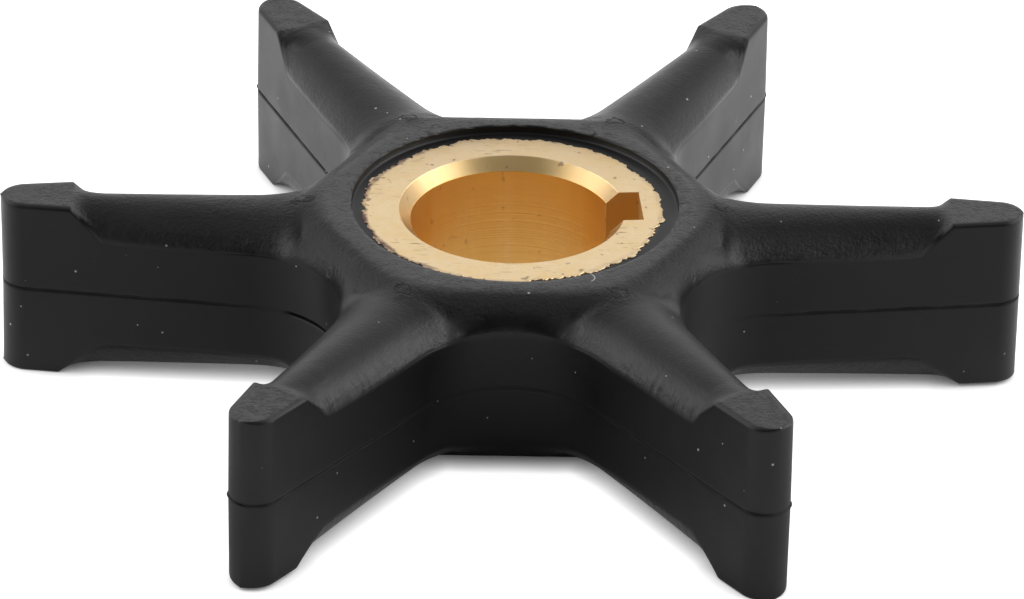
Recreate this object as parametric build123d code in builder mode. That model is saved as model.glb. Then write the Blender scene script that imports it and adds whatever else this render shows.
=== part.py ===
from build123d import *
import math
import os

# Six-vane rubber pump impeller moulded round a keyed brass bush.
# Millimetres. The origin is on the bore axis at the middle of the height,
# +Z runs along the bore and +X points along one vane.

# Bush
bore_dia = 12.7
bush_wall = 3.1
bore_chamfer = 0.75
key_width = 3.65
key_depth = 1.77
key_angle = 4.5

# Rubber star, seen from above
vane_count = 6
tip_reach = 32.0
tip_round = 1.6
vane_taper = 7.2
valley_round = 6.5

# Height over the pads, and how far the other tops lie below a pad
overall_height = 11.9
rim_drop = 0.09
crest_root_drop = 0.39
crest_tip_drop = 0.23
crease_drop = 2.45

# Pads, ramps and hub cap
pad_length = 4.5
ramp_length = 2.0
pad_chamfer = 0.3
cap_inset = 0.04

# Recess round the brass
recess_depth = 0.46
ledge_width = 0.8
recess_shift = 0.2

# Parting line and gate marks
flash_reach = 0.1
flash_height = 0.16
gate_inset = 0.1
gate_dia = 1.2
gate_depth = 0.08

# How far the vane tops start from the bush, flare and overlap past the flanks
arch_gap = 2.75
crest_gap = 0.04
flare = 1.5
flare_overlap = 4

# Sizes that follow from the ones above
pad_height = overall_height / 2
rim_height = pad_height - rim_drop
crease_height = pad_height - crease_drop
shoulder_round = rim_height - crease_height
bush_dia = bore_dia + 2 * bush_wall
bush_face = rim_height - recess_depth
recess_dia = bush_dia + 2 * ledge_width
tip_centre = tip_reach - tip_round
ramp_top = tip_reach - pad_length
ramp_foot = ramp_top - ramp_length
taper = math.radians(vane_taper)
root_round = tip_round + tip_centre * math.sin(taper)
half_pitch = math.pi / vane_count
valley_centre = (root_round + valley_round) / math.sin(half_pitch + taper)
valley_start = valley_centre * math.cos(half_pitch) - valley_round * math.sin(taper)
valley_reach = valley_centre - valley_round
gate_reach = valley_reach - gate_inset
arch_start = bush_dia / 2 + arch_gap


def half_width(reach):
    """Half thickness of a vane, flank or valley arc, at a distance along it."""
    if reach > valley_start:
        return (root_round - reach * math.sin(taper)) / math.cos(taper)
    along = reach - valley_centre * math.cos(half_pitch)
    return valley_centre * math.sin(half_pitch) - math.sqrt(valley_round**2 - along**2)


def vane_outline(grow=0.0):
    """One vane seen from above, from the bore axis to its round tip."""
    reach = tip_reach + grow
    root = (root_round + grow) / math.cos(taper)
    tip = (tip_round + grow) * math.cos(taper)
    foot = tip_centre + (tip_round + grow) * math.sin(taper)
    with BuildSketch(mode=Mode.PRIVATE) as vane:
        with BuildLine():
            Polyline((foot, -tip), (0, -root), (0, root), (foot, tip))
            ThreePointArc((foot, tip), (reach, 0), (foot, -tip))
        make_face()
    return vane.sketch


def star_outline(grow=0.0):
    """Six tapered vanes joined by round valleys."""
    with BuildSketch(mode=Mode.PRIVATE) as star:
        with PolarLocations(0, vane_count):
            add(vane_outline(grow))
        roots = [v for v in star.vertices() if math.hypot(v.X, v.Y) < arch_start]
        fillet(roots, valley_round - grow)
    return star.sketch


def reach_of(shape):
    """Distance of a shape's middle from the bore axis."""
    return math.hypot(shape.center().X, shape.center().Y)


def ramp_share(reach):
    """How far up the ramp a distance along the vane lies, from 0 at its foot to 1 at its top."""
    return min(1, max(0, (reach - ramp_foot) / ramp_length))


def crest_height(reach):
    """Height of a vane along its middle: it swells into the hub and climbs the ramp to the pad."""
    slope = (crest_root_drop - crest_tip_drop) / (ramp_foot - valley_start)
    ridge = pad_height - crest_root_drop + slope * (min(reach, ramp_foot) - valley_start)
    swell = max(0, (valley_start - reach) / (valley_start - arch_start))
    hub = (rim_height - crest_gap - ridge) * swell**2
    return ridge + hub + (pad_height - ridge) * ramp_share(reach)


def edge_height(reach):
    """Height at which the top of a vane meets its flanks."""
    return crease_height + (pad_height - crease_height) * ramp_share(reach)


def stations(start, end, count):
    """Evenly spaced distances from the start up to, but not at, the end."""
    return [start + (end - start) * step / count for step in range(count)]


def arch_section(reach):
    """Upright section of a vane top: an arc with both ends flared past the flanks."""
    crest = crest_height(reach)
    rise = crest - edge_height(reach)
    wide = half_width(reach)
    radius = (wide**2 + rise**2) / (2 * rise)
    sweep = math.asin(wide / radius) + math.radians(flare_overlap)
    side = radius * math.sin(sweep)
    low = crest - radius * (1 - math.cos(sweep))
    with BuildSketch(Plane.YZ.offset(reach), mode=Mode.PRIVATE) as arch:
        with BuildLine():
            Polyline((-side, low), (-side - flare, -flare), (side + flare, -flare), (side, low))
            ThreePointArc((side, low), (0, crest), (-side, low))
        make_face()
    return arch.sketch


def pad_section():
    """Upright section of a pad at the top of the ramp: flat and flared past the flanks."""
    side = half_width(ramp_foot)
    with BuildSketch(Plane.YZ.offset(ramp_top), mode=Mode.PRIVATE) as pad:
        with BuildLine():
            Polyline(
                (-side, pad_height),
                (-side - flare, -flare),
                (side + flare, -flare),
                (side, pad_height),
                close=True,
            )
        make_face()
    return pad.sketch


outline = star_outline()
hub_stations = stations(arch_start, valley_start, 4)
vane_stations = stations(valley_start, ramp_foot, 6)
ramp_stations = stations(ramp_foot, ramp_top, 4)

# Vane tops for one vane: arch, ramp and pad, wider than the vane itself
with BuildPart() as top_form:
    arch = [arch_section(reach) for reach in hub_stations + vane_stations + ramp_stations]
    loft([*arch, pad_section()], ruled=True)
    extrude(pad_section(), amount=pad_length + flare, dir=(1, 0, 0))

# Upper half of the vanes: the star cut to the form of the vane tops
with BuildPart() as vanes:
    with PolarLocations(0, vane_count):
        add(top_form.part)
    extrude(outline, amount=pad_height, mode=Mode.INTERSECT)
    pads = vanes.faces().filter_by(Axis.Z).filter_by_position(Axis.Z, pad_height, pad_height)
    chamfer([edge for edge in pads.edges() if reach_of(edge) > ramp_top + pad_chamfer], pad_chamfer)

# Hub cap: a six-sided block with flats over the valleys and a well rounded top edge
with BuildPart() as cap:
    with BuildSketch():
        RegularPolygon(valley_reach - cap_inset, vane_count, major_radius=False)
    extrude(amount=rim_height)
    fillet(cap.faces().sort_by(Axis.Z)[-1].edges(), shoulder_round)

# Rubber body: both halves, with the flash, the seat and the recesses
with BuildPart() as rubber:
    extrude(outline, amount=crease_height)
    add(vanes.part)
    add(cap.part)
    mirror(about=Plane.XY)
    extrude(star_outline(flash_reach), amount=flash_height / 2, both=True)
    Cylinder(bush_dia / 2, 2 * pad_height, mode=Mode.SUBTRACT)
    with Locations((recess_shift, 0, bush_face), (recess_shift, 0, -bush_face)):
        Cylinder(recess_dia / 2, 2 * (rim_height - bush_face), mode=Mode.SUBTRACT)
    with Locations((0, 0, rim_height), (0, 0, -rim_height)):
        with PolarLocations(gate_reach, vane_count):
            Cylinder(gate_dia / 2, 2 * gate_depth, mode=Mode.SUBTRACT)

# Brass bush with a chamfered bore and a through keyway
with BuildPart() as bush:
    Cylinder(bush_dia / 2, 2 * bush_face)
    Hole(bore_dia / 2)
    rims = bush.edges().filter_by(GeomType.CIRCLE)
    chamfer([rim for rim in rims if rim.radius < bush_dia / 2], bore_chamfer)
    with Locations(Rotation(0, 0, key_angle)):
        keyway = (bore_dia / 2 + key_depth, key_width, 2 * bush_face)
        Box(*keyway, align=(Align.MIN, Align.CENTER, Align.CENTER), mode=Mode.SUBTRACT)

os.makedirs("parts", exist_ok=True)
rubber.part.label = "rubber_impeller"
export_step(rubber.part, "parts/rubber_impeller.step")
bush.part.label = "brass_bush"
export_step(bush.part, "parts/brass_bush.step")
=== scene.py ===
"""Rubber pump impeller with a keyed brass bush, dressed for a studio picture.

Lengths in the classes are millimetres; meshes are written in metres.
"""

import logging
import math
from dataclasses import dataclass, field
from enum import Enum
from functools import reduce

import bmesh
import bpy
import numpy as np
from mathutils import Matrix, Vector


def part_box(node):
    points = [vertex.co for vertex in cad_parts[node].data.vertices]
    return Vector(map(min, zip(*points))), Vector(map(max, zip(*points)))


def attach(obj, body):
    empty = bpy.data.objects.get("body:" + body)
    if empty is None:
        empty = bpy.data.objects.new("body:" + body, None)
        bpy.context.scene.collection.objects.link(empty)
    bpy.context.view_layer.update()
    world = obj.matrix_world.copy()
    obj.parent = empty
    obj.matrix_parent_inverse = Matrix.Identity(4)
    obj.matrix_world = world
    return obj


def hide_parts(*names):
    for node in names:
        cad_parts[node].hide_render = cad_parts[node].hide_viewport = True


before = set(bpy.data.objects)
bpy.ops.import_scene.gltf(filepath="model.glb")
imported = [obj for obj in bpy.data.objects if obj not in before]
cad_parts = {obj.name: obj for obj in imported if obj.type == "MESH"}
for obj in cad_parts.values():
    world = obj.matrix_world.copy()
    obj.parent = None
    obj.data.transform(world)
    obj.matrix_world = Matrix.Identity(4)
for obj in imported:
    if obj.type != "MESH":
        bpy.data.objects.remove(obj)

MM = 0.001

# Spacing of the points along a rib before it is thinned out, in millimetres
STEP = 0.05

# How far the parting line of the solids stands out past the tips, in millimetres
CAD_FLASH = 0.1

# The range in which nearly all values of a soft noise lie
NOISE_SPAN = (0.3, 0.7)

LOG = logging.getLogger("impeller")
Socket = bpy.types.NodeSocket
Colour = tuple[float, float, float, float]

# Where something begins and over what length it grows; with a negative length it fades
Span = tuple[float, float]


class End(Enum):
    """The two ends of the impeller, as the sign of their height."""

    UPPER = 1
    LOWER = -1


@dataclass
class MeshBuilder:
    """Collects grids of points and turns them into one welded mesh.

    Attributes:
        name: Name of the object that is made.
        points: Points in millimetres.
        quads: Faces as indices into the points.
        masks: One value per point for each named mask.
    """

    name: str
    points: list[np.ndarray] = field(default_factory=list)
    quads: list[np.ndarray] = field(default_factory=list)
    masks: dict[str, list[np.ndarray]] = field(default_factory=dict)
    count: int = 0

    def add_grid(self, grid: np.ndarray, flip: bool, **masks: np.ndarray) -> None:
        """Adds a grid of points as quads.

        Args:
            grid: Array of rows, columns and three coordinates.
            flip: Whether the faces turn the other way round.
            **masks: Arrays of rows and columns with a value per point.
        """
        rows, columns = grid.shape[:2]
        index = self.count + np.arange(rows * columns).reshape(rows, columns)
        corners = [index[:-1, :-1], index[1:, :-1], index[1:, 1:], index[:-1, 1:]]
        quads = np.stack(corners, axis=-1).reshape(-1, 4)
        self.points.append(grid.reshape(-1, 3))
        self.quads.append(quads[:, ::-1] if flip else quads)
        for key, values in masks.items():
            self.masks.setdefault(key, []).append(values.reshape(-1))
        self.count += rows * columns

    def build(self, weld: float = 0.002) -> bpy.types.Object:
        """Makes the object.

        Args:
            weld: Distance in millimetres under which points become one.

        Returns:
            The new object, linked to the scene.
        """
        mesh = bpy.data.meshes.new(self.name)
        points = np.concatenate(self.points) * MM
        mesh.from_pydata(points.tolist(), [], np.concatenate(self.quads).tolist())
        for key, parts in self.masks.items():
            layer = mesh.attributes.new(key, "FLOAT", "POINT")
            layer.data.foreach_set("value", np.concatenate(parts).astype(np.float32))
        work = bmesh.new()
        work.from_mesh(mesh)
        bmesh.ops.remove_doubles(work, verts=work.verts, dist=weld * MM)
        bmesh.ops.recalc_face_normals(work, faces=work.faces)
        work.to_mesh(mesh)
        work.free()
        mesh.polygons.foreach_set("use_smooth", [True] * len(mesh.polygons))
        thing = bpy.data.objects.new(self.name, mesh)
        bpy.context.scene.collection.objects.link(thing)
        return thing


def smooth_line(line: np.ndarray, spread: np.ndarray, step: float) -> np.ndarray:
    """Rounds the corners of an evenly spaced line by averaging along it.

    Args:
        line: Points of the line, evenly spaced.
        spread: Reach of the averaging at each point, in millimetres.
        step: Spacing of the points.

    Returns:
        The rounded line, with its ends kept.
    """
    place = np.arange(len(line)) * step
    gap = (place[:, None] - place[None, :]) / np.maximum(spread[:, None], 1e-6)
    weight = np.exp(-0.5 * gap**2)
    weight /= weight.sum(axis=1, keepdims=True)
    out = weight @ line
    out[0], out[-1] = line[0], line[-1]
    return out


def soft_max(a: np.ndarray, b: np.ndarray, blend: float) -> np.ndarray:
    """The larger of two values, rounded where they cross.

    Args:
        a: First values.
        b: Second values.
        blend: Size of the rounding.

    Returns:
        The rounded maximum.
    """
    share = np.clip(0.5 + 0.5 * (a - b) / blend, 0, 1)
    return b + (a - b) * share + blend * share * (1 - share)


def joined(*parts: np.ndarray) -> np.ndarray:
    """Joins arrays of coordinates into one array of points."""
    return np.stack(parts, axis=-1)


def distances(line: np.ndarray) -> np.ndarray:
    """Distance of each point of a line from its start, along the line."""
    return np.concatenate([[0], np.cumsum(np.linalg.norm(np.diff(line, axis=0), axis=1))])


def grow(value: np.ndarray | float, start: float, length: float) -> np.ndarray:
    """Grows from 0 at the start to 1 over a length.

    Args:
        value: Places at which the growth is wanted.
        start: Where it begins.
        length: Over how far it goes; a negative length grows the other way.

    Returns:
        The share at each place, from 0 to 1.
    """
    return np.clip((value - start) / length, 0, 1)


@dataclass(frozen=True)
class EndForm:
    """Heights and lengths of the vane tops on one end.

    Attributes:
        ramp_foot: Where the ramp leaves the arch.
        ramp_top: Where the pad begins.
        crease: Height at which the arch meets the flanks.
        crest_root: Height of the crest beside the hub.
        crest_tip: Height of the crest at the foot of the ramp.
    """

    ramp_foot: float
    ramp_top: float
    crease: float
    crest_root: float
    crest_tip: float


@dataclass(frozen=True)
class Vane:
    """What differs from vane to vane.

    Attributes:
        angle: Direction of the vane in degrees.
        upper_pad: Height of the upper pad.
        lower_pad: Height of the lower pad.
        shorter: How much shorter than the longest vane it is.
        crack: How deep the parting line stands open in the valley on its left.
        painted_light_and_scuff: How pale with painted light and how brushed the lower part of its arch is
            where it faces front, from 0 to 1.
        gap: How deep the groove beside its parting line is.
        coarse: How grainy its crest is, from 0 to 1.
        chalky: How pale its pad is beside the others.
    """

    angle: float
    upper_pad: float
    lower_pad: float
    shorter: float = 0.0
    crack: float = 0.0
    painted_light_and_scuff: float = 0.0
    gap: float = 0.05
    coarse: float = 0.4
    chalky: float = 1.0


@dataclass(frozen=True)
class PartingLine:
    """The flash, the groove beside it and the nub at the tip."""

    flash: float = 0.022
    nub: float = 0.13
    rows: tuple[float, ...] = (0, 0.02, 0.045, 0.075, 0.11, 0.16, 0.26)
    flash_shape: tuple[float, ...] = (1, 1, 0.35, 0, 0, 0, 0)
    groove_shape: tuple[float, ...] = (1, 1, 1, 0.9, 0.35, 0, 0)
    crack_shape: tuple[float, ...] = (1, 1, 1, 0.85, 0.3, 0, 0)
    flash_span: Span = (15.5, -1.5)
    nub_span: Span = (30.6, 0.9)
    groove_span: Span = (14.5, 4.0)
    groove_least: float = 0.25
    crack_span: Span = (14.2, -0.6)

    def push(self, vane: Vane, side: int, reach: float) -> np.ndarray:
        """How far each of the lowest points of a rib is pushed out.

        Args:
            vane: The vane.
            side: 1 or -1, the side of the vane.
            reach: Distance along the vane.

        Returns:
            One length in millimetres for each row.
        """
        open_crack = vane.crack * grow(reach, *self.crack_span)
        if side > 0 and open_crack > 0:
            return -open_crack * np.array(self.crack_shape)
        wave = math.sin(2.3 * reach + vane.angle) + math.sin(5.9 * reach + 2 * vane.angle + side)
        at_tip = grow(reach, *self.nub_span)
        flash = self.flash * (0.8 + 0.25 * wave) * grow(reach, *self.flash_span)
        flash += (self.nub + self.flash) * at_tip
        deep = max(grow(reach, *self.groove_span), self.groove_least)
        groove = vane.gap * (1 + 0.2 * wave) * deep * (1 - 0.7 * at_tip)
        return flash * np.array(self.flash_shape) - groove * np.array(self.groove_shape)


@dataclass(frozen=True)
class Zones:
    """Where each kind of rubber surface begins and ends.

    The reaches are distances along the vane or from the axis, and the top begins
    at a row of the rib. The painted highlight beside the hub has a place and a size.
    """

    top_row: Span = (15.5, 3.0)
    pad: Span = (26.7, 0.7)
    rim_height: Span = (5.7, 0.12)
    rim_reach: Span = (12.6, -1.2)
    hub_reach: Span = (14.6, -1.5)
    hub_height: Span = (4.2, 0.8)
    hub_grain: float = 0.55
    low_height: Span = (5.2, -0.9)
    low_reach: Span = (13.2, 1.5)
    low_grain: float = 0.35
    highlight_place: tuple[float, float] = (14.0, 3.3)
    highlight_size: tuple[float, float] = (0.35, 0.6)
    # Painted light and brushed streaks on the lower arch slopes that face the back
    back_painted_light_and_scuff: float = 0.1
    seam_line: tuple[float, ...] = (0.8, 1, 1, 1, 0.6, 0.15)
    seam: Span = (13.0, 5.0)
    seam_least: float = 0.25
    streak: Span = (17.0, 5.0)
    streak_least: float = 0.2

    def masks(self, local: np.ndarray, vane: Vane, side: int) -> dict[str, np.ndarray]:
        """Masks that tell the material which part of the surface it is on.

        Args:
            local: Points of half a vane in its own plane.
            vane: The vane.
            side: 1 or -1, the side of the vane; the one that faces front gets painted light and brushed
                streaks.

        Returns:
            Grain of the tops, pale pads and rim with painted light on the front
            slopes and a painted highlight beside the hub, parting line, distance
            along the vane and the brushed lower part of the arches.
        """
        x, y, z = local[..., 0], local[..., 1], local[..., 2]
        row = np.broadcast_to(np.arange(local.shape[1]), x.shape)
        on_top = grow(row, *self.top_row)
        on_pad = grow(x, *self.pad)
        away = np.hypot(x, y)
        on_rim = grow(z, *self.rim_height) * grow(away, *self.rim_reach)
        on_hub = self.hub_grain * grow(away, *self.hub_reach) * grow(z, *self.hub_height)
        low = grow(z, *self.low_height) * grow(x, *self.low_reach) * (1 - on_pad)
        # Painted highlight: a pale spot on each arch where it ends beside the hub
        (spot_x, spot_y), (long, wide) = self.highlight_place, self.highlight_size
        painted_highlight = np.exp(-((x - spot_x) ** 2) / long - (np.abs(y) - spot_y) ** 2 / wide)
        # Painted light: the lower arch slope that faces front is paler by its vane's share, the back one by
        # a small share; the same share sets its brushed streaks
        at_front = math.sin(math.radians(vane.angle + side * 90)) < 0
        painted_light_and_scuff = vane.painted_light_and_scuff if at_front else self.back_painted_light_and_scuff
        line = np.zeros(local.shape[1])
        line[: len(self.seam_line)] = self.seam_line
        fade = np.maximum(grow(x, *self.seam), self.seam_least)
        grainy = np.max([vane.coarse + self.low_grain * low, on_pad, on_rim, on_hub + 0.3], axis=0)
        return {
            "grain": on_top * grainy.clip(0, 1),
            "pale": on_top * np.max([on_pad * vane.chalky, on_rim, painted_highlight, low * painted_light_and_scuff], axis=0),
            "seam": line[None, :] * fade,
            "along": x,
            "streak": on_top * low * np.maximum(grow(x, *self.streak), self.streak_least) * painted_light_and_scuff,
        }


@dataclass
class RubberStar:
    """The moulded rubber body: six vanes, hub, recesses and parting line."""

    reach: float
    bush_radius: float
    bush_face: float
    tip_round: float = 1.6
    taper: float = math.radians(7.2)
    valley_round: float = 6.5
    rim: float = 5.86
    shoulder: float = 2.36
    hub_flat: float = 13.12
    roll: float = 2.0
    roll_start: float = 11.4
    roll_slope: float = 0.55
    roll_least: float = 0.9
    roll_span: Span = (14.4, -0.8)
    shoulder_blend: float = 0.2
    arch_gap: float = 2.75
    arch_span: Span = (13.55, -0.55)
    crest_gap: float = 0.04
    hub_blend: float = 0.3
    hub_span: Span = (16.5, 2.0)
    recess_radius: float = 10.25
    recess_shift: float = 0.2
    recess_corner: float = 0.16
    ledge_drop: float = 0.05
    ledge_under: float = 0.4
    ledge_skirt: float = 0.6
    pad_round: float = 0.16
    crease_round: float = 0.1
    pad_span: Span = (26.5, 1.0)
    shrink_span: Span = (18.0, 12.0)
    flank_marks: tuple[float, ...] = (18.0, 21.5, 24.9, 26.6)
    bend_gaps: tuple[float, ...] = (-0.15, -0.04, 0.04, 0.15)
    rib_gap: float = 0.7
    short_run: float = 0.3
    rim_ribs: int = 11
    arc_ribs: int = 24
    tip_ribs: int = 13
    wall_rows: int = 6
    wall_margin: float = 0.5
    bend_rows: int = 7
    bend_reach: float = 0.36
    top_rows: int = 18
    top_crowding: float = 1.15
    least_steps: int = 24
    draft: float = math.radians(0.5)
    upper: EndForm = EndForm(25.5, 27.5, 3.5, 5.56, 5.72)
    lower: EndForm = EndForm(25.7, 28.4, 3.5, 5.56, 5.72)
    parting: PartingLine = PartingLine()
    zones: Zones = Zones()
    vanes: tuple[Vane, ...] = (
        Vane(0, 5.72, 5.75, painted_light_and_scuff=0.3, coarse=0.6, chalky=0.9),
        Vane(60, 5.95, 5.95, painted_light_and_scuff=0.1, gap=0.09),
        Vane(120, 5.9, 5.95, painted_light_and_scuff=0.1, gap=0.13, chalky=0.95),
        Vane(180, 5.86, 5.95, shorter=0.1, crack=0.3, coarse=0.75, chalky=0.85),
        Vane(240, 5.74, 5.74, shorter=0.1, painted_light_and_scuff=1.0, chalky=0.7),
        Vane(300, 5.87, 5.95, painted_light_and_scuff=0.85, chalky=0.6),
    )

    def __post_init__(self) -> None:
        """Works out the sizes that follow from the given ones."""
        self.tip_centre = self.reach - self.tip_round
        self.root = self.tip_round + self.tip_centre * math.sin(self.taper)
        self.pitch = math.pi / len(self.vanes)
        valley_centre = (self.root + self.valley_round) / math.sin(self.pitch + self.taper)
        self.valley_x = valley_centre * math.cos(self.pitch)
        self.valley_y = valley_centre * math.sin(self.pitch)
        self.valley_start = self.valley_x - self.valley_round * math.sin(self.taper)
        self.arch_start = self.bush_radius + self.arch_gap

    def half_width(self, reach: np.ndarray) -> np.ndarray:
        """Half thickness of a vane, flank or valley arc.

        Args:
            reach: Distances along the vane.

        Returns:
            The half thickness at each distance.
        """
        flank = (self.root - reach * math.sin(self.taper)) / math.cos(self.taper)
        along = np.clip(reach - self.valley_x, -self.valley_round, self.valley_round)
        arc = self.valley_y - np.sqrt(self.valley_round**2 - along**2)
        return np.where(reach > self.valley_start, flank, arc)

    def outline(self) -> np.ndarray:
        """Half of a vane's outline, from the middle of a valley to the tip.

        Returns:
            Points in the vane's own plane, as distance along it and to its side.
        """
        turn = np.linspace(self.pitch - math.pi, -math.pi / 2 - self.taper, self.arc_ribs + 1)
        across, aside = self.valley_round * np.cos(turn), self.valley_round * np.sin(turn)
        arc = joined(self.valley_x + across, self.valley_y + aside)
        foot = self.tip_centre + self.tip_round * math.sin(self.taper)
        ramps = [p for end in (self.upper, self.lower) for p in (end.ramp_foot, end.ramp_top)]
        sharp = [p + gap for p in ramps for gap in self.bend_gaps]
        marks = sorted({self.valley_start, *self.flank_marks, *sharp, foot})
        along = []
        for start, end in zip(marks, marks[1:]):
            count = max(2, round((end - start) / self.rib_gap)) if end - start > self.short_run else 1
            along.extend(np.linspace(start, end, count + 1)[1:])
        along = np.array(along)
        flank = joined(along, self.half_width(along))
        turn = np.linspace(math.pi / 2 - self.taper, 0, self.tip_ribs + 1)[1:]
        tip = joined(self.tip_centre + self.tip_round * np.cos(turn), self.tip_round * np.sin(turn))
        return np.concatenate([arc, flank, tip])

    def inner_marks(self, outline: np.ndarray) -> np.ndarray:
        """Where each rib ends inside: on the recess rim or on the vane's middle line.

        Args:
            outline: Points of the half outline.

        Returns:
            For each point, a value from -1 to 0 for a place on the rim, from the
            valley to the vane, or the distance along the middle line.
        """
        reach = outline[:, 0]
        order = np.arange(len(reach))
        share = (order - self.rim_ribs) / (self.arc_ribs - self.rim_ribs)
        start = self.recess_radius + self.recess_shift
        line = start + share * (self.valley_start - self.recess_radius - self.recess_shift)
        beyond = np.where(order < self.arc_ribs, line, reach)
        return np.where(order <= self.rim_ribs, order / self.rim_ribs - 1, beyond)

    def top(self, x: np.ndarray, y: np.ndarray, form: EndForm, pad: float) -> np.ndarray:
        """Height of the top surface.

        Args:
            x: Distances along the vane.
            y: Distances to its side, not negative.
            form: Heights of this end.
            pad: Height of this vane's pad.

        Returns:
            The height at each place.
        """
        ramp = grow(x, form.ramp_foot, form.ramp_top - form.ramp_foot)
        slope = (form.crest_tip - form.crest_root) / (form.ramp_foot - self.valley_start)
        ridge = form.crest_root + slope * (np.minimum(x, form.ramp_foot) - self.valley_start)
        swell = grow(x, self.valley_start, self.arch_start - self.valley_start)
        crest = ridge + (self.rim - self.crest_gap - ridge) * swell**2 + (pad - ridge) * ramp
        edge = form.crease + (pad - form.crease) * ramp
        wide = self.half_width(x)
        rise = np.maximum(crest - edge, 1e-4)
        radius = (wide**2 + rise**2) / (2 * rise)
        reach = np.minimum(y, radius * 0.999)
        arch = crest - radius + np.sqrt(radius**2 - reach**2)
        hub = self.hub(x, y)
        both = soft_max(arch, hub, self.hub_blend)
        both += (arch - both) * grow(x, *self.hub_span)
        ended = grow(x, *self.arch_span)
        return both + (hub - both) * ended**2 * (3 - 2 * ended)

    def hub(self, x: np.ndarray, y: np.ndarray) -> np.ndarray:
        """Height of the six-sided hub, whose shoulder rolls over from the valley wall.

        Args:
            x: Distances along the vane.
            y: Distances to its side, not negative.

        Returns:
            The height at each place.
        """
        low = self.rim - self.shoulder
        inward = self.hub_flat - x * math.cos(self.pitch) - y * math.sin(self.pitch)
        fall = np.clip(self.shoulder - inward, 0, self.shoulder)
        shoulder = low + np.sqrt(self.shoulder**2 - fall**2)
        from_wall = np.hypot(x - self.valley_x, y - self.valley_y) - self.valley_round
        roll = np.clip(self.roll - self.roll_slope * (x - self.roll_start), self.roll_least, self.roll)
        roll = roll * grow(x, *self.roll_span)
        short = 1 - np.clip(from_wall / np.maximum(roll, 1e-6), 0, 1)
        return soft_max(shoulder, low + roll * np.sqrt(1 - short**2), self.shoulder_blend)

    def ribs(self, vane: Vane, side: int, end: End) -> np.ndarray:
        """Upright lines over the surface, from the parting line to the inner end.

        Args:
            vane: The vane they belong to.
            side: 1 or -1, the side of the vane.
            end: The end of the impeller.

        Returns:
            Grid of points, one row per outline point.
        """
        form = self.upper if end is End.UPPER else self.lower
        pad = vane.upper_pad if end is End.UPPER else vane.lower_pad
        outline = self.outline()
        marks = self.inner_marks(outline)
        scale = 1 - vane.shorter / self.reach * grow(outline[:, 0], *self.shrink_span)
        rows = []
        for (px, py), mark, shrink in zip(outline, marks, scale):
            target = self.inner_point(vane, mark, side)
            start = np.array([px * shrink, py])
            reach = np.hypot(*(target - start))
            away = (start - target) / max(reach, 1e-6)
            share = np.linspace(0, 1, max(int(reach / STEP), self.least_steps))
            plan = start[None, :] + (target - start)[None, :] * share[:, None]
            height = self.top(plan[:, 0], np.abs(plan[:, 1]), form, pad)
            row = self.profile(plan, height, away, float(start[0]))
            push = self.parting.push(vane, side, px)
            row[: len(push), :2] += push[:, None] * away
            rows.append(row)
        return np.array(rows)

    def profile(self, plan: np.ndarray, height: np.ndarray, away: np.ndarray, reach: float) -> np.ndarray:
        """One rib: wall, rounded edge and top, cut to a fixed number of points.

        Args:
            plan: Places along the top part of the rib, from the outline inwards.
            height: Heights at those places.
            away: Direction out of the outline.
            reach: Distance of the rib along the vane.

        Returns:
            The points of the rib.
        """
        edge = height[0]
        wall = max(int(edge / STEP), 4)
        rise = np.linspace(0, edge, wall, endpoint=False)
        lean = -np.tan(self.draft) * rise
        upright = plan[0] + lean[:, None] * away
        level = plan + lean[-1] * away * np.linspace(1, 0, len(plan))[:, None]
        flat = np.concatenate([upright, level])
        full = np.concatenate([flat, np.concatenate([rise, height])[:, None]], axis=1)
        along = distances(full)
        even = np.arange(0, along[-1], STEP)
        line = np.stack([np.interp(even, along, full[:, k]) for k in range(3)], axis=-1)
        on_pad = grow(reach, *self.pad_span)
        spread = np.full(len(line), self.crease_round + (self.pad_round - self.crease_round) * on_pad)
        line = smooth_line(line, spread, STEP)
        line[-1] = full[-1]
        dense = distances(line)
        corner = along[wall]
        upper_wall = np.linspace(self.wall_margin, corner - self.wall_margin, self.wall_rows)
        bend = np.linspace(corner - self.bend_reach, corner + self.bend_reach, self.bend_rows)
        share = np.linspace(0, 1, self.top_rows + 1)[1:] ** self.top_crowding
        rest = share * (dense[-1] - corner - self.bend_reach) + corner + self.bend_reach
        places = np.concatenate([self.parting.rows, upper_wall, bend, rest])
        return np.stack([np.interp(places, dense, line[:, k]) for k in range(3)], axis=-1)

    def recess_edge(self, turn: np.ndarray | float) -> np.ndarray | float:
        """Distance of the recess wall from the axis.

        Args:
            turn: Direction in radians.

        Returns:
            The distance in millimetres.
        """
        return self.recess_shift * np.cos(turn) + np.sqrt(
            self.recess_radius**2 - (self.recess_shift * np.sin(turn)) ** 2
        )

    def inner_point(self, vane: Vane, mark: float, side: int) -> np.ndarray:
        """The inner end of a rib, in the vane's own plane.

        Args:
            vane: The vane.
            mark: Place on the recess rim, or distance along the middle line.
            side: 1 or -1, the side of the vane.

        Returns:
            Distance along the vane and to its side.
        """
        if mark > 0:
            return np.array([mark, 0.0])
        local = -mark * self.pitch
        reach = self.recess_edge(math.radians(vane.angle) + side * local)
        return np.array([reach * math.cos(local), reach * math.sin(local)])

    def place(self, grid: np.ndarray, vane: Vane, side: int, end: End) -> np.ndarray:
        """Turns a grid from the vane's own plane to its place in the star.

        Args:
            grid: Points beside the vane's middle plane, on the upper end.
            vane: The vane.
            side: 1 or -1, the flank.
            end: The end of the impeller.

        Returns:
            The points in the star.
        """
        turn = math.radians(vane.angle)
        x, y, z = grid[..., 0], grid[..., 1] * side, grid[..., 2] * end.value
        cos, sin = math.cos(turn), math.sin(turn)
        return joined(x * cos - y * sin, x * sin + y * cos, z)

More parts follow.
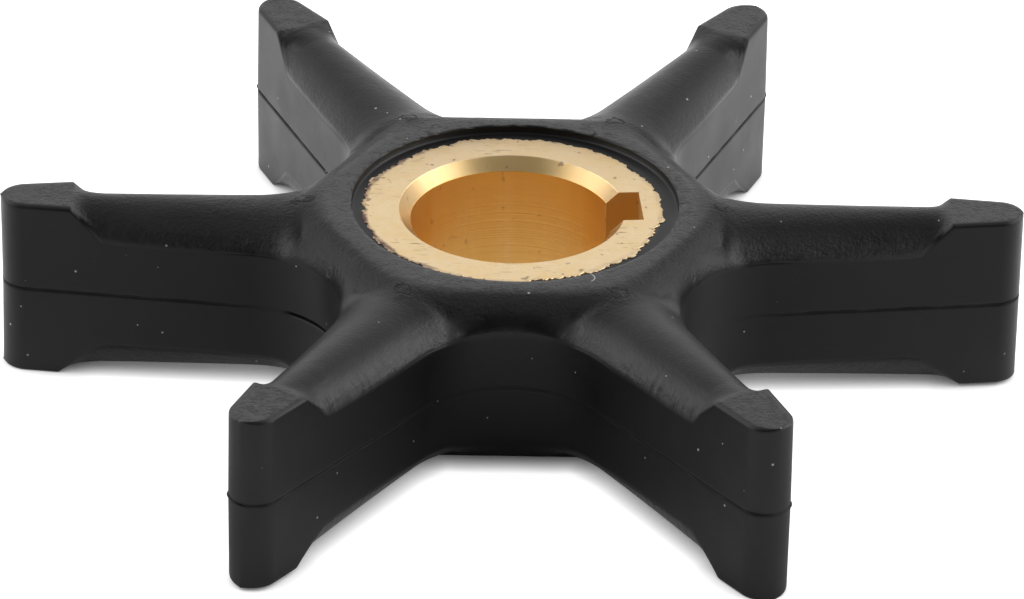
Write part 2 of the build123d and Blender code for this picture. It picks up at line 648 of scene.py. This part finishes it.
    def recess(self, builder: MeshBuilder, end: End) -> None:
        """Adds the recess wall and the ledge beside the brass.

        Args:
            builder: The mesh that is being built.
            end: The end of the impeller.
        """
        turns = []
        marks = self.inner_marks(self.outline())
        local = [-mark * self.pitch for mark in marks if mark <= 0]
        for vane in self.vanes:
            base = math.radians(vane.angle)
            turns += [base - turn for turn in local] + [base] + [base + turn for turn in local]
        turns = np.array(sorted({round(turn % (2 * math.pi), 9) for turn in turns}))
        turns = np.append(turns, turns[0] + 2 * math.pi)
        ring = self.recess_edge(turns)
        floor = self.bush_face - self.ledge_drop
        inner = np.full_like(ring, self.bush_radius - self.ledge_under)
        corner = self.recess_corner
        wall = [(0, self.rim), (0, self.rim - 0.1), (0.03, floor + 0.12), (0.08, floor + 0.04)]
        rows = [joined(ring - inset, np.full_like(ring, z)) for inset, z in (*wall, (corner, floor))]
        for share in (0.3, 0.6, 1.0):
            level = (ring - corner) * (1 - share) + inner * share
            rows.append(joined(level, np.full_like(ring, floor)))
        rows.append(joined(inner, np.full_like(ring, floor - self.ledge_skirt)))
        line = np.stack(rows)
        away, height = line[..., 0], line[..., 1]
        grid = joined(away * np.cos(turns), away * np.sin(turns), height * end.value)
        plain = np.zeros(grid.shape[:2])
        builder.add_grid(
            grid, end is End.UPPER, grain=plain + 0.1, pale=plain, seam=plain, along=plain, streak=plain
        )

    def build(self) -> bpy.types.Object:
        """Builds the whole rubber body.

        Returns:
            The object.
        """
        builder = MeshBuilder("rubber_star")
        for vane in self.vanes:
            for side in (1, -1):
                for end in End:
                    local = self.ribs(vane, side, end)
                    grid = self.place(local, vane, side, end)
                    masks = self.zones.masks(local, vane, side)
                    builder.add_grid(grid, (side * end.value) > 0, **masks)
        for end in End:
            self.recess(builder, end)
        return builder.build()


@dataclass
class BrassBush:
    """The brass bush with its chamfered bore and keyway."""

    radius: float
    face: float
    bore_radius: float = 6.35
    chamfer: float = 0.75
    key_width: float = 3.65
    key_floor: float = 8.12
    key_angle: float = math.radians(4.5)
    cuts: tuple[int, ...] = (8, 4, 4, 290)
    burr: float = 0.085
    burr_waves: tuple[int, ...] = (7, 13, 22, 37, 55, 83, 120, 163)
    burr_worst: float = math.radians(150)
    burr_seed: int = 11
    torn_inset: float = 0.06
    torn_least: float = 0.34
    torn_most: float = 0.2
    torn_drops: tuple[float, ...] = (0.16, 0.06, 0.03, 0)
    flare: float = 0.02
    lip: float = 0.03
    edge_break: float = 0.05

    def __post_init__(self) -> None:
        """Works out the angles at which the keyway has its corners."""
        self.floor_turn = math.atan2(self.key_width / 2, self.key_floor)
        self.chamfer_turn = math.asin(self.key_width / 2 / (self.bore_radius + self.chamfer))
        self.bore_turn = math.asin(self.key_width / 2 / self.bore_radius)

    def ragged(self, angle: np.ndarray) -> np.ndarray:
        """How far the torn edge of the face lies outside the bush.

        Args:
            angle: Angles round the axis in radians.

        Returns:
            The distance at each angle in millimetres.
        """
        phase = np.random.default_rng(self.burr_seed).uniform(0, 2 * math.pi, len(self.burr_waves))
        waves = [np.sin(n * angle + p) / n**0.25 for n, p in zip(self.burr_waves, phase)]
        worst = 1 + 0.9 * np.cos(angle - self.burr_worst) ** 2
        return self.burr * worst * np.sum(waves, axis=0)

    def turns(self) -> np.ndarray:
        """Cuts the circle so that the corners of the keyway are exact.

        Returns:
            Angles from the middle of the keyway.
        """
        marks = [0, self.floor_turn, self.chamfer_turn, self.bore_turn, math.pi]
        runs = [np.linspace(a, b, n, endpoint=False) for a, b, n in zip(marks, marks[1:], self.cuts)]
        half = np.concatenate(runs)
        return np.concatenate([half, [math.pi], -half[:0:-1]])

    def bore_line(self, turns: np.ndarray) -> np.ndarray:
        """Distance of the bore or keyway wall from the axis.

        Args:
            turns: Angles from the middle of the keyway.

        Returns:
            The distance at each angle in millimetres.
        """
        size = np.abs((turns + math.pi) % (2 * math.pi) - math.pi)
        floor = self.key_floor / np.cos(np.minimum(size, self.floor_turn))
        side = self.key_width / 2 / np.maximum(np.sin(size), 1e-6)
        beyond = np.where(size < self.bore_turn, side, self.bore_radius)
        return np.where(size <= self.floor_turn + 1e-9, floor, beyond)

    def build(self) -> bpy.types.Object:
        """Builds the bush.

        Returns:
            The object.
        """
        turns = self.turns()
        turns = np.append(turns, turns[0] + 2 * math.pi)
        wall = self.bore_line(turns)
        rim = np.maximum(self.bore_radius + self.chamfer, wall)
        drop = rim - wall
        builder = MeshBuilder("bush")
        angle = turns + self.key_angle
        outer = np.full_like(wall, self.radius)
        torn = outer - self.torn_inset + self.ragged(angle)
        torn = np.clip(torn, self.radius - self.torn_least, self.radius + self.torn_most)
        radii = [outer, outer, np.minimum(torn, outer) + self.flare, torn, torn - self.lip]
        levels = [0] + [self.face - down for down in self.torn_drops]
        heights = [np.full_like(wall, z) for z in levels]
        for share in (0.25, 0.5, 0.75, 1.0):
            radii.append((torn - self.lip) * (1 - share) + rim * share)
            heights.append(np.full_like(wall, self.face))
        for share in (0.5, 1.0):
            radii.append(rim - drop * share)
            heights.append(self.face - drop * share)
        for share in (0.75, 0.5, 0.25, 0.0):
            radii.append(wall)
            heights.append((self.face - drop) * share)
        radius = np.stack(radii)
        height = np.stack(heights)
        for sign in (1, -1):
            grid = joined(radius * np.cos(angle), radius * np.sin(angle), sign * height)
            builder.add_grid(grid, sign > 0)
        thing = builder.build()
        bevel = thing.modifiers.new("edge_break", "BEVEL")
        bevel.width = self.edge_break * MM
        bevel.segments = 2
        bevel.limit_method = "ANGLE"
        bevel.angle_limit = math.radians(30)
        bevel.harden_normals = True
        return thing


@dataclass
class Shader:
    """Adds nodes to a tree and links them."""

    tree: bpy.types.NodeTree

    def node(self, kind: str, inputs: dict | None = None, **settings: object) -> bpy.types.Node:
        """Adds a node.

        Args:
            kind: Type name of the node.
            inputs: Values or sockets by input name or number.
            **settings: Properties of the node.

        Returns:
            The node.
        """
        made = self.tree.nodes.new(kind)
        for key, value in settings.items():
            setattr(made, key, value)
        for key, value in (inputs or {}).items():
            socket = made.inputs[key]
            if isinstance(value, Socket):
                self.tree.links.new(value, socket)
            else:
                socket.default_value = value
        return made

    def math(self, operation: str, a: object, b: object = 0.0, clamp: bool = False) -> Socket:
        """Adds a maths node and returns its result."""
        return self.node("ShaderNodeMath", {0: a, 1: b}, operation=operation, use_clamp=clamp).outputs[0]

    def plus(self, a: object, b: object, clamp: bool = False) -> Socket:
        """Adds two values."""
        return self.math("ADD", a, b, clamp)

    def minus(self, a: object, b: object, clamp: bool = False) -> Socket:
        """Takes the second value from the first."""
        return self.math("SUBTRACT", a, b, clamp)

    def times(self, a: object, b: object) -> Socket:
        """Multiplies two values."""
        return self.math("MULTIPLY", a, b)

    def most(self, a: object, b: object) -> Socket:
        """Returns the larger of two values."""
        return self.math("MAXIMUM", a, b)

    def length(self, a: object, b: object) -> Socket:
        """Length of a vector with the two given parts."""
        return self.math("SQRT", self.plus(self.times(a, a), self.times(b, b)))

    def ramp(self, value: object, low: float, high: float, start: float = 0.0, end: float = 1.0) -> Socket:
        """Maps a value from one range to another and returns the result, held inside it."""
        return self.node("ShaderNodeMapRange", {0: value, 1: low, 2: high, 3: start, 4: end}).outputs[0]

    def noise(self, vector: object, scale: float, detail: float = 3.0, rough: float = 0.5) -> Socket:
        """Adds a noise texture and returns its value."""
        given = {"Vector": vector, "Scale": scale, "Detail": detail, "Roughness": rough}
        return self.node("ShaderNodeTexNoise", given).outputs["Fac"]

    def place(self) -> Socket:
        """Object coordinates."""
        return self.node("ShaderNodeTexCoord").outputs["Object"]

    def split(self, vector: object) -> tuple[Socket, ...]:
        """The three parts of a vector."""
        return tuple(self.node("ShaderNodeSeparateXYZ", {0: vector}).outputs)

    def join(self, x: object, y: object = 0.0, z: object = 0.0) -> Socket:
        """A vector made of three parts."""
        return self.node("ShaderNodeCombineXYZ", {0: x, 1: y, 2: z}).outputs[0]

    def weighted(self, masks: tuple[Socket, ...], weights: tuple[float, ...]) -> Socket:
        """Adds up masks by weight; a mask of weight zero is left out."""
        pairs = [(mask, share) for mask, share in zip(masks, weights) if share]
        return reduce(self.plus, [mask if share == 1 else self.times(mask, share) for mask, share in pairs])

    def bump(self, height: Socket, strength: float, distance: float) -> Socket:
        """Turns a height into a relief."""
        given = {"Strength": strength, "Distance": distance, "Height": height}
        return self.node("ShaderNodeBump", given).outputs[0]

    def blend(self, share: object, first: object, second: object) -> Socket:
        """Mixes two colours."""
        return self.node("ShaderNodeMix", {0: share, 6: first, 7: second}, data_type="RGBA").outputs[2]

    def surface(self, inputs: dict) -> None:
        """Adds the surface shader and the output."""
        shader = self.node("ShaderNodeBsdfPrincipled", inputs)
        self.node("ShaderNodeOutputMaterial", {"Surface": shader.outputs[0]})


def new_material(name: str) -> tuple[bpy.types.Material, Shader]:
    """Makes a material without nodes.

    Args:
        name: Name of the material.

    Returns:
        The material and a helper that adds nodes to it.
    """
    made = bpy.data.materials.new(name)
    made.use_nodes = True
    made.node_tree.nodes.clear()
    return made, Shader(made.node_tree)


def grain_group() -> bpy.types.NodeTree:
    """Node group for the fine grain and the dust that both finishes carry.

    Returns:
        A group with the inputs Scale, Coarse and Dust and the outputs Height and Speck.
    """
    tree = bpy.data.node_groups.new("fine_grain", "ShaderNodeTree")
    face = tree.interface
    for name, value in (("Scale", 4000.0), ("Coarse", 0.5), ("Dust", 0.5)):
        face.new_socket(name, in_out="INPUT", socket_type="NodeSocketFloat").default_value = value
    for name in ("Height", "Speck"):
        face.new_socket(name, in_out="OUTPUT", socket_type="NodeSocketFloat")
    kit = Shader(tree)
    given = kit.node("NodeGroupInput").outputs
    result = kit.node("NodeGroupOutput")
    place = kit.place()
    fine = kit.noise(place, given["Scale"], 4.0, 0.6)
    wide = kit.noise(place, kit.times(given["Scale"], 0.3), 3.0, 0.55)
    mixed = kit.plus(fine, kit.times(wide, given["Coarse"]))
    rare = kit.minus(1.0, kit.times(given["Dust"], 0.2))
    specks = []
    for scale, size in ((700.0, 0.07), (1500.0, 0.1)):
        cells = kit.node("ShaderNodeTexVoronoi", {"Vector": place, "Scale": scale, "Randomness": 1.0})
        near = kit.ramp(cells.outputs["Distance"], size, size * 0.5)
        tint = kit.node("ShaderNodeSeparateColor", {0: cells.outputs["Color"]}).outputs[0]
        specks.append(kit.times(near, kit.math("GREATER_THAN", tint, rare)))
        rare = kit.plus(kit.times(rare, 0.2), 0.8)
    tree.links.new(mixed, result.inputs["Height"])
    tree.links.new(kit.most(*specks), result.inputs["Speck"])
    return tree


@dataclass(frozen=True)
class RubberFinish:
    """Matt black moulded rubber: grained tops, smooth walls, pale pads, painted light on the front slopes
    and beside the hub, painted shade in the grooves and a little dust.
    """

    name: str = "moulded_rubber"
    black: Colour = (0.0028, 0.0028, 0.0028, 1)
    grey: Colour = (0.068, 0.068, 0.068, 1)
    # Near-black painted shade for the parting-line groove, the open crack and the gate rings
    groove_shade: Colour = (0.0008, 0.0008, 0.0008, 1)
    dust: Colour = (0.5, 0.5, 0.49, 1)
    wall_roughness: float = 0.46
    crest_gloss: float = 0.1
    grain_roughness: float = 0.15
    specular: float = 0.4
    sheen: float = 0.05
    sheen_roughness: float = 0.35
    grain_scale: float = 4600.0
    grain_coarse: float = 0.9
    grain_dust: float = 1.3
    cloud_scale: float = 240.0
    comb_scale: float = 4.5
    bump_height: float = 0.00006
    gate_reach: float = 13.06
    gate_radius: float = 0.6
    gate_depth: float = 7.0
    gate_shade: float = 0.7
    hair_place: tuple[float, float] = (4.55, -9.6)
    hair_bend: float = 0.55

    def gate(self, kit: Shader, place: Socket) -> Socket:
        """Ragged ring of each gate mark, on the middle line of every vane.

        Args:
            kit: Node helper of the material.
            place: Object coordinates.

        Returns:
            One on the ring, zero elsewhere.
        """
        x, y, _ = kit.split(place)
        away = kit.length(x, y)
        pitch = math.pi / 3
        turn = kit.plus(kit.math("ARCTAN2", y, x), pitch / 2)
        turn = kit.minus(kit.math("FLOORED_MODULO", turn, pitch), pitch / 2)
        along = kit.minus(away, self.gate_reach * MM)
        gap = kit.length(along, kit.times(away, turn))
        rag = kit.ramp(kit.noise(place, 1800.0, 3.0, 0.6), *NOISE_SPAN, -0.0003, 0.0003)
        off = kit.math("ABSOLUTE", kit.minus(kit.plus(gap, rag), self.gate_radius * 0.8 * MM))
        return kit.ramp(off, 0.00018, 0.00004)

    def hair(self, kit: Shader, place: Socket) -> Socket:
        """One short curved fibre that lies on the hub.

        Args:
            kit: Node helper of the material.
            place: Object coordinates.

        Returns:
            One on the fibre, zero elsewhere.
        """
        x, y, z = kit.split(place)
        side = kit.minus(x, self.hair_place[0] * MM)
        away = kit.length(side, kit.minus(y, self.hair_place[1] * MM))
        off = kit.math("ABSOLUTE", kit.minus(away, self.hair_bend * MM))
        line = kit.ramp(off, 0.00005, 0.00002)
        line = kit.times(line, kit.math("GREATER_THAN", side, 0.6 * self.hair_bend * MM))
        return kit.times(line, kit.math("GREATER_THAN", z, 0.004))

    def material(self, grain: bpy.types.NodeTree) -> bpy.types.Material:
        """Builds the material.

        Args:
            grain: The shared grain group.

        Returns:
            The material.
        """
        made, kit = new_material(self.name)
        zone, pale, seam, along, streak = (
            kit.node("ShaderNodeAttribute", attribute_name=name).outputs["Fac"]
            for name in ("grain", "pale", "seam", "along", "streak")
        )
        place = kit.place()
        given = {"Scale": self.grain_scale, "Coarse": self.grain_coarse, "Dust": self.grain_dust}
        skin = kit.node("ShaderNodeGroup", given, node_tree=grain).outputs
        gate = self.gate(kit, place)

        cloud = kit.noise(place, self.cloud_scale, 4.0, 0.55)
        wear = kit.ramp(cloud, *NOISE_SPAN, 0.75, 1.2)
        speckle = kit.ramp(skin["Height"], 0.75, 1.15, -0.5, 0.5)
        speckle = kit.times(speckle, kit.ramp(zone, 0.4, 1.0))
        combed = kit.noise(kit.join(along, kit.times(cloud, 0.6)), self.comb_scale, 3.0, 0.6)
        speckle = kit.plus(speckle, kit.times(kit.ramp(combed, 0.35, 0.65, -0.6, 0.6), streak))
        # pale carries the pale pads and rim, the painted light of the front slopes and the painted
        # highlight beside the hub
        shade = kit.times(pale, kit.plus(wear, speckle))
        shade = kit.plus(shade, kit.times(kit.ramp(cloud, 0.55, 0.75), 0.08))
        base = kit.blend(shade, self.black, self.grey)
        # Painted shade: near black along the parting-line groove, in the open crack and in the gate rings
        broken = kit.ramp(kit.noise(place, 420.0, 2.0, 0.5), 0.35, 0.55)
        crack = kit.times(seam, kit.plus(kit.times(broken, 0.6), 0.4))
        crack = kit.most(crack, kit.times(gate, self.gate_shade))
        groove_shaded = kit.blend(crack, base, self.groove_shade)
        dusty = kit.blend(kit.most(skin["Speck"], self.hair(kit, place)), groove_shaded, self.dust)

        grit = kit.times(skin["Height"], kit.ramp(zone, 0.25, 1.0, 0.05, 3.6))
        height = kit.plus(grit, kit.times(kit.times(combed, streak), 5.0))
        height = kit.plus(height, kit.times(kit.noise(place, 700.0, 2.0, 0.5), 0.35))
        height = kit.minus(height, kit.times(gate, self.gate_depth))
        relief = kit.bump(height, 0.5, self.bump_height)
        rough = kit.minus(self.wall_roughness, kit.ramp(zone, 0.0, 0.3, 0.0, self.crest_gloss))
        rough = kit.plus(rough, kit.ramp(zone, 0.35, 1.0, 0.0, self.grain_roughness))
        rough = kit.plus(rough, kit.ramp(cloud, *NOISE_SPAN, -0.05, 0.05))
        rough = kit.plus(rough, kit.times(crack, 0.3), clamp=True)
        gloss = {"Specular IOR Level": self.specular}
        sheen = {"Sheen Weight": self.sheen, "Sheen Roughness": self.sheen_roughness}
        kit.surface({"Base Color": dusty, "Roughness": rough, "Normal": relief, **gloss, **sheen})
        return made


@dataclass(frozen=True)
class BrassFinish:
    """Turned brass: a scratched face with a stained edge, a polished chamfer and a smooth bore, with
    painted shade in the bore, chamfer and keyway and towards the back of the face.
    """

    name: str = "turned_brass"
    gold: Colour = (0.99, 0.78, 0.49, 1)
    deep: Colour = (0.90, 0.585, 0.185, 1)
    # Dark colour for scratches, nicks and staining, and for painted shade
    stain_and_shade: Colour = (0.20, 0.11, 0.10, 1)
    face_height: float = 5.36
    rim_height: float = 4.64
    bore_radius: float = 6.35
    edge_radius: float = 9.1
    key_width: float = 3.65
    key_angle: float = math.radians(4.5)
    grain_scale: float = 5200.0
    grain_coarse: float = 0.6
    grain_dust: float = 0.3
    cloud_scale: float = 420.0
    turning_scale: float = 6000.0
    bump_height: float = 0.00004
    scratch_turns: tuple[float, ...] = (0.35, 1.25, 2.5)
    scratch_ink: float = 0.8
    nick_ink: float = 0.6
    # Share of the bright gold on face, bore, chamfer and keyway; the deep brass of the bore, chamfer and
    # keyway is painted shade
    tones: tuple[float, ...] = (1, 0, 0.45, 0.3)
    satins: tuple[float, ...] = (0.2, 0.2, 0.14, 0.25)

    def scratches(self, kit: Shader, place: Socket) -> Socket:
        """Fine scratches in three directions.

        Args:
            kit: Node helper of the material.
            place: Object coordinates.

        Returns:
            One in a scratch, zero elsewhere.
        """
        found = None
        for turn in self.scratch_turns:
            drawn = {"Vector": place, "Rotation": (0, 0, turn), "Scale": (700.0, 6000.0, 700.0)}
            stretched = kit.node("ShaderNodeMapping", drawn).outputs[0]
            line = kit.ramp(kit.noise(stretched, 1.0, 2.0, 0.5), 0.67, 0.75)
            found = line if found is None else kit.most(found, line)
        return kit.times(found, kit.ramp(kit.noise(place, 260.0, 2.0, 0.5), 0.42, 0.58))

    def material(self, grain: bpy.types.NodeTree) -> bpy.types.Material:
        """Builds the material.

        Args:
            grain: The shared grain group.

        Returns:
            The material.
        """
        made, kit = new_material(self.name)
        place = kit.place()
        x, y, z = kit.split(place)
        away = kit.length(x, y)
        given = {"Scale": self.grain_scale, "Coarse": self.grain_coarse, "Dust": self.grain_dust}
        skin = kit.node("ShaderNodeGroup", given, node_tree=grain).outputs

        # Which part of the bush it is: face, bore, chamfer or keyway
        face = kit.math("GREATER_THAN", kit.math("ABSOLUTE", z), self.face_height * MM)
        inside = kit.math("LESS_THAN", away, (self.bore_radius + 0.03) * MM)
        rim = kit.math("GREATER_THAN", kit.math("ABSOLUTE", z), self.rim_height * MM)
        spin = {"Vector": place, "Angle": -self.key_angle}
        turned = kit.node("ShaderNodeVectorRotate", spin, rotation_type="Z_AXIS")
        outward, across, _ = kit.split(turned.outputs[0])
        slot = kit.math("LESS_THAN", kit.math("ABSOLUTE", across), (self.key_width / 2 + 0.03) * MM)
        slot = kit.times(slot, kit.math("GREATER_THAN", outward, (self.bore_radius - 0.3) * MM))
        slot = kit.minus(slot, face, clamp=True)
        chamfer = kit.minus(rim, kit.most(face, inside), clamp=True)
        chamfer = kit.minus(chamfer, slot, clamp=True)
        parts = (face, inside, chamfer, slot)

        cloud = kit.noise(place, self.cloud_scale, 4.0, 0.6)
        around = kit.times(kit.math("ARCTAN2", y, x), 1.6)
        bands = kit.noise(kit.join(around), 2.2, 3.0, 0.6)
        # Painted shade: the bore takes the deep brass, the chamfer and keyway part of it, while the face
        # stays gold
        tone = kit.weighted(parts, self.tones)
        tone = kit.plus(tone, kit.times(inside, kit.ramp(bands, 0.4, 0.65, 0.0, 0.22)))
        mottle = kit.ramp(kit.noise(place, 1300.0, 3.0, 0.6), *NOISE_SPAN, -0.12, 0.12)
        tone = kit.times(tone, kit.plus(kit.ramp(cloud, *NOISE_SPAN, 0.62, 1.05), mottle))
        base = kit.blend(tone, self.deep, self.gold)

        # Staining along the torn edge, strongest on the left, with a bright lip outside it
        start = self.edge_radius
        edge = kit.plus(away, kit.ramp(cloud, *NOISE_SPAN, -0.00022, 0.00022))
        edge = kit.ramp(edge, start * MM, (start + 0.2) * MM)
        edge = kit.times(edge, kit.ramp(x, -0.002, -0.0075, 0.2, 1.0))
        bright_lip = kit.times(kit.ramp(away, (start + 0.33) * MM, (start + 0.4) * MM), 0.8)
        edge = kit.minus(edge, bright_lip, clamp=True)
        edge = kit.times(edge, kit.ramp(kit.noise(place, 900.0, 2.0, 0.5), 0.4, 0.55, 0.45, 1.0))

        # Scratches on the face and nicks everywhere; painted shade on the chamfer's sides, in the keyway
        # and towards the back of the face
        marks = kit.times(self.scratches(kit, place), face)
        rimmed = kit.times(kit.ramp(away, (start - 0.5) * MM, (start + 0.2) * MM), 0.07)
        nick = kit.ramp(kit.plus(kit.noise(place, 1500.0, 2.0, 0.5), rimmed), 0.67, 0.73)
        nick = kit.times(nick, kit.minus(self.nick_ink, kit.times(inside, 0.35)))
        dark = kit.most(kit.most(kit.times(marks, self.scratch_ink), nick), edge)
        # Painted shade: the chamfer darker at its sides than at the back, the keyway darker, the face
        # darker towards the back
        painted_shade = kit.times(chamfer, kit.ramp(y, 0.0035, 0.0068, 0.42, 0.05))
        painted_shade = kit.plus(painted_shade, kit.times(slot, 0.12))
        painted_shade = kit.plus(painted_shade, kit.times(face, kit.ramp(y, 0.003, 0.0085, 0.0, 0.13)))
        dark = kit.most(dark, painted_shade)
        aged_and_shaded = kit.blend(dark, base, self.stain_and_shade)

        rings = kit.noise(kit.join(away, z), self.turning_scale, 2.0, 0.5)
        turning = kit.times(rings, kit.plus(0.5, kit.times(inside, 1.5)))
        dents = kit.plus(skin["Height"], kit.noise(place, 1100.0, 2.0, 0.5))
        height = kit.plus(turning, kit.times(dents, kit.times(face, 5.0)))
        height = kit.minus(height, kit.times(dark, 1.5))
        relief = kit.bump(height, 0.22, self.bump_height)
        rough = kit.plus(kit.weighted(parts, self.satins), kit.ramp(cloud, *NOISE_SPAN, 0.17, 0.25))
        kit.surface({"Base Color": aged_and_shaded, "Roughness": rough, "Normal": relief, "Metallic": 1.0})
        return made


def toward(azimuth: float, elevation: float) -> Vector:
    """Direction from the part at an azimuth and an elevation in degrees."""
    turn, lift = math.radians(azimuth), math.radians(elevation)
    return Vector((math.sin(turn) * math.cos(lift), -math.cos(turn) * math.cos(lift), math.sin(lift)))


@dataclass(frozen=True)
class Softbox:
    """A rectangular studio lamp that looks at the part."""

    name: str
    azimuth: float
    elevation: float
    distance: float
    width: float
    depth: float
    power: float

    def build(self) -> bpy.types.Object:
        """Makes the lamp and points it at the origin.

        Returns:
            The lamp.
        """
        data = bpy.data.lights.new(self.name, "AREA")
        data.shape = "RECTANGLE"
        data.size, data.size_y = self.width, self.depth
        data.energy = self.power
        lamp = bpy.data.objects.new(self.name, data)
        way = toward(self.azimuth, self.elevation)
        lamp.location = way * self.distance
        lamp.rotation_mode = "QUATERNION"
        lamp.rotation_quaternion = (-way).to_track_quat("-Z", "Y")
        bpy.context.scene.collection.objects.link(lamp)
        return lamp


@dataclass
class Studio:
    """Pale floor, pale backdrop, two side lamps and the camera."""

    floor_height: float
    azimuth: float = -0.383
    elevation: float = 29.094
    roll: float = 1.13
    distance: float = 0.44069
    lens: float = 247.37
    target: tuple[float, float, float] = (0.0001037, -0.0019887, 0.0)
    backdrop: float = 0.9
    ceiling: float = 0.35
    floor_glow: float = 0.93
    floor_half: float = 3.0
    shade_reach: float = 0.0012
    bore_radius: float = 6.35
    bore_share: float = 0.37
    front_share: float = 0.24
    lamps: tuple[Softbox, ...] = (
        Softbox("side_right", 88, 26, 0.6, 0.6, 0.55, 2.5),
        Softbox("side_left", -88, 26, 0.6, 0.6, 0.55, 1.8),
    )

    def camera(self) -> bpy.types.Object:
        """Makes the camera at the photograph's angle.

        Returns:
            The camera.
        """
        turn, roll = math.radians(self.azimuth), math.radians(self.roll)
        back = toward(self.azimuth, self.elevation)
        right = Vector((math.cos(turn), math.sin(turn), 0))
        up = back.cross(right)
        tilted = right * math.cos(roll) + up * math.sin(roll)
        upright = back.cross(tilted)
        data = bpy.data.cameras.new("camera")
        data.lens = self.lens
        data.sensor_width = 36.0
        data.clip_start, data.clip_end = 0.01, 20
        thing = bpy.data.objects.new("camera", data)
        place = Vector(self.target) + back * self.distance
        columns = Matrix((tilted, upright, back)).transposed().to_4x4()
        thing.matrix_world = Matrix.Translation(place) @ columns
        bpy.context.scene.collection.objects.link(thing)
        bpy.context.scene.camera = thing
        return thing

    def seen_white(self, kit: Shader, x: Socket, y: Socket, in_bore: Socket) -> Socket:
        """How white the floor is to a ray.

        Args:
            kit: Node helper of the floor's material.
            x: First object coordinate.
            y: Second object coordinate.
            in_bore: One under the bore, zero elsewhere.

        Returns:
            One where the camera looks; reflections see less, and least in front of the part.
        """
        behind = kit.ramp(y, -0.012, 0.012, 0.05, 1.0)
        share = kit.most(behind, kit.ramp(y, -0.024, -0.034, 0.05, self.front_share))
        beside = kit.math("ABSOLUTE", x)
        lit = kit.times(kit.ramp(beside, 0.003, 0.007), kit.ramp(beside, 0.014, 0.011))
        lit = kit.times(lit, kit.ramp(y, -0.012, -0.016, 0.0, self.front_share))
        share = kit.most(share, lit)
        share = kit.node("ShaderNodeMix", {0: in_bore, 2: share, 3: self.bore_share}).outputs[0]
        path = kit.node("ShaderNodeLightPath").outputs
        mirrored = kit.plus(path["Is Glossy Ray"], path["Is Transmission Ray"])
        return kit.plus(path["Is Camera Ray"], kit.times(mirrored, share))

    def floor(self) -> bpy.types.Object:
        """Makes the pale floor, which keeps the part's shadow.

        Returns:
            The floor.
        """
        mesh = bpy.data.meshes.new("floor")
        half = self.floor_half
        corners = [(-half, -half, 0), (half, -half, 0), (half, half, 0), (-half, half, 0)]
        mesh.from_pydata(corners, [], [(0, 1, 2, 3)])
        thing = bpy.data.objects.new("floor", mesh)
        thing.location = (0, 0, self.floor_height)
        bpy.context.scene.collection.objects.link(thing)
        made, kit = new_material("pale_floor")
        x, y, _ = kit.split(kit.place())
        in_bore = kit.math("LESS_THAN", kit.length(x, y), self.bore_radius * MM)
        shade = kit.node("ShaderNodeAmbientOcclusion", {"Distance": self.shade_reach}, samples=8)
        open_floor = kit.times(kit.most(shade.outputs["AO"], in_bore), self.floor_glow)
        strength = kit.times(self.seen_white(kit, x, y, in_bore), open_floor)
        matt = kit.node("ShaderNodeBsdfDiffuse", {"Color": (0.9, 0.9, 0.9, 1)})
        glow = kit.node("ShaderNodeEmission", {"Color": (1, 1, 1, 1), "Strength": strength})
        both = kit.node("ShaderNodeAddShader", {0: matt.outputs[0], 1: glow.outputs[0]})
        kit.node("ShaderNodeOutputMaterial", {"Surface": both.outputs[0]})
        mesh.materials.append(made)
        return thing

    def surroundings(self) -> None:
        """Sets the world: a pale backdrop behind, dark in front and a dim ceiling."""
        world = bpy.data.worlds.new("studio")
        bpy.context.scene.world = world
        world.use_nodes = True
        world.node_tree.nodes.clear()
        kit = Shader(world.node_tree)
        _, depth, high = kit.split(kit.node("ShaderNodeTexCoord").outputs["Generated"])
        behind = kit.ramp(depth, -0.12, 0.45, 0.0, self.backdrop)
        high = kit.ramp(high, 0.6, 0.95)
        lit = kit.node("ShaderNodeMix", {0: high, 2: behind, 3: self.ceiling}).outputs[0]
        strength = kit.most(lit, kit.node("ShaderNodeLightPath").outputs["Is Camera Ray"])
        back = kit.node("ShaderNodeBackground", {"Color": (1, 1, 1, 1), "Strength": strength})
        kit.node("ShaderNodeOutputWorld", {"Surface": back.outputs[0]})

    def build(self) -> None:
        """Builds the whole studio."""
        self.camera()
        self.floor()
        self.surroundings()
        for lamp in self.lamps:
            lamp.build()
        bpy.context.scene.view_settings.view_transform = "Standard"


def main() -> None:
    """Builds the part and its studio."""
    logging.basicConfig(level=logging.INFO, format="%(name)s: %(message)s")
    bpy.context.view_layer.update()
    low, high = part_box("rubber_impeller")
    bush_low, bush_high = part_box("brass_bush")
    bush_radius = (bush_high.x - bush_low.x) / 2 / MM
    grain = grain_group()

    reach = high.x / MM - CAD_FLASH
    star = RubberStar(reach=reach, bush_radius=bush_radius, bush_face=bush_high.z / MM)
    rubber = star.build()
    rubber.data.materials.append(RubberFinish().material(grain))
    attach(rubber, "root")
    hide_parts("rubber_impeller")
    LOG.info("rubber star: %d faces", len(rubber.data.polygons))

    bush = BrassBush(radius=bush_radius, face=bush_high.z / MM)
    brass = bush.build()
    brass.data.materials.append(BrassFinish().material(grain))
    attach(brass, "root")
    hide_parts("brass_bush")
    LOG.info("brass bush: %d faces", len(brass.data.polygons))

    Studio(floor_height=low.z).build()


if __name__ == "__main__":
    main()
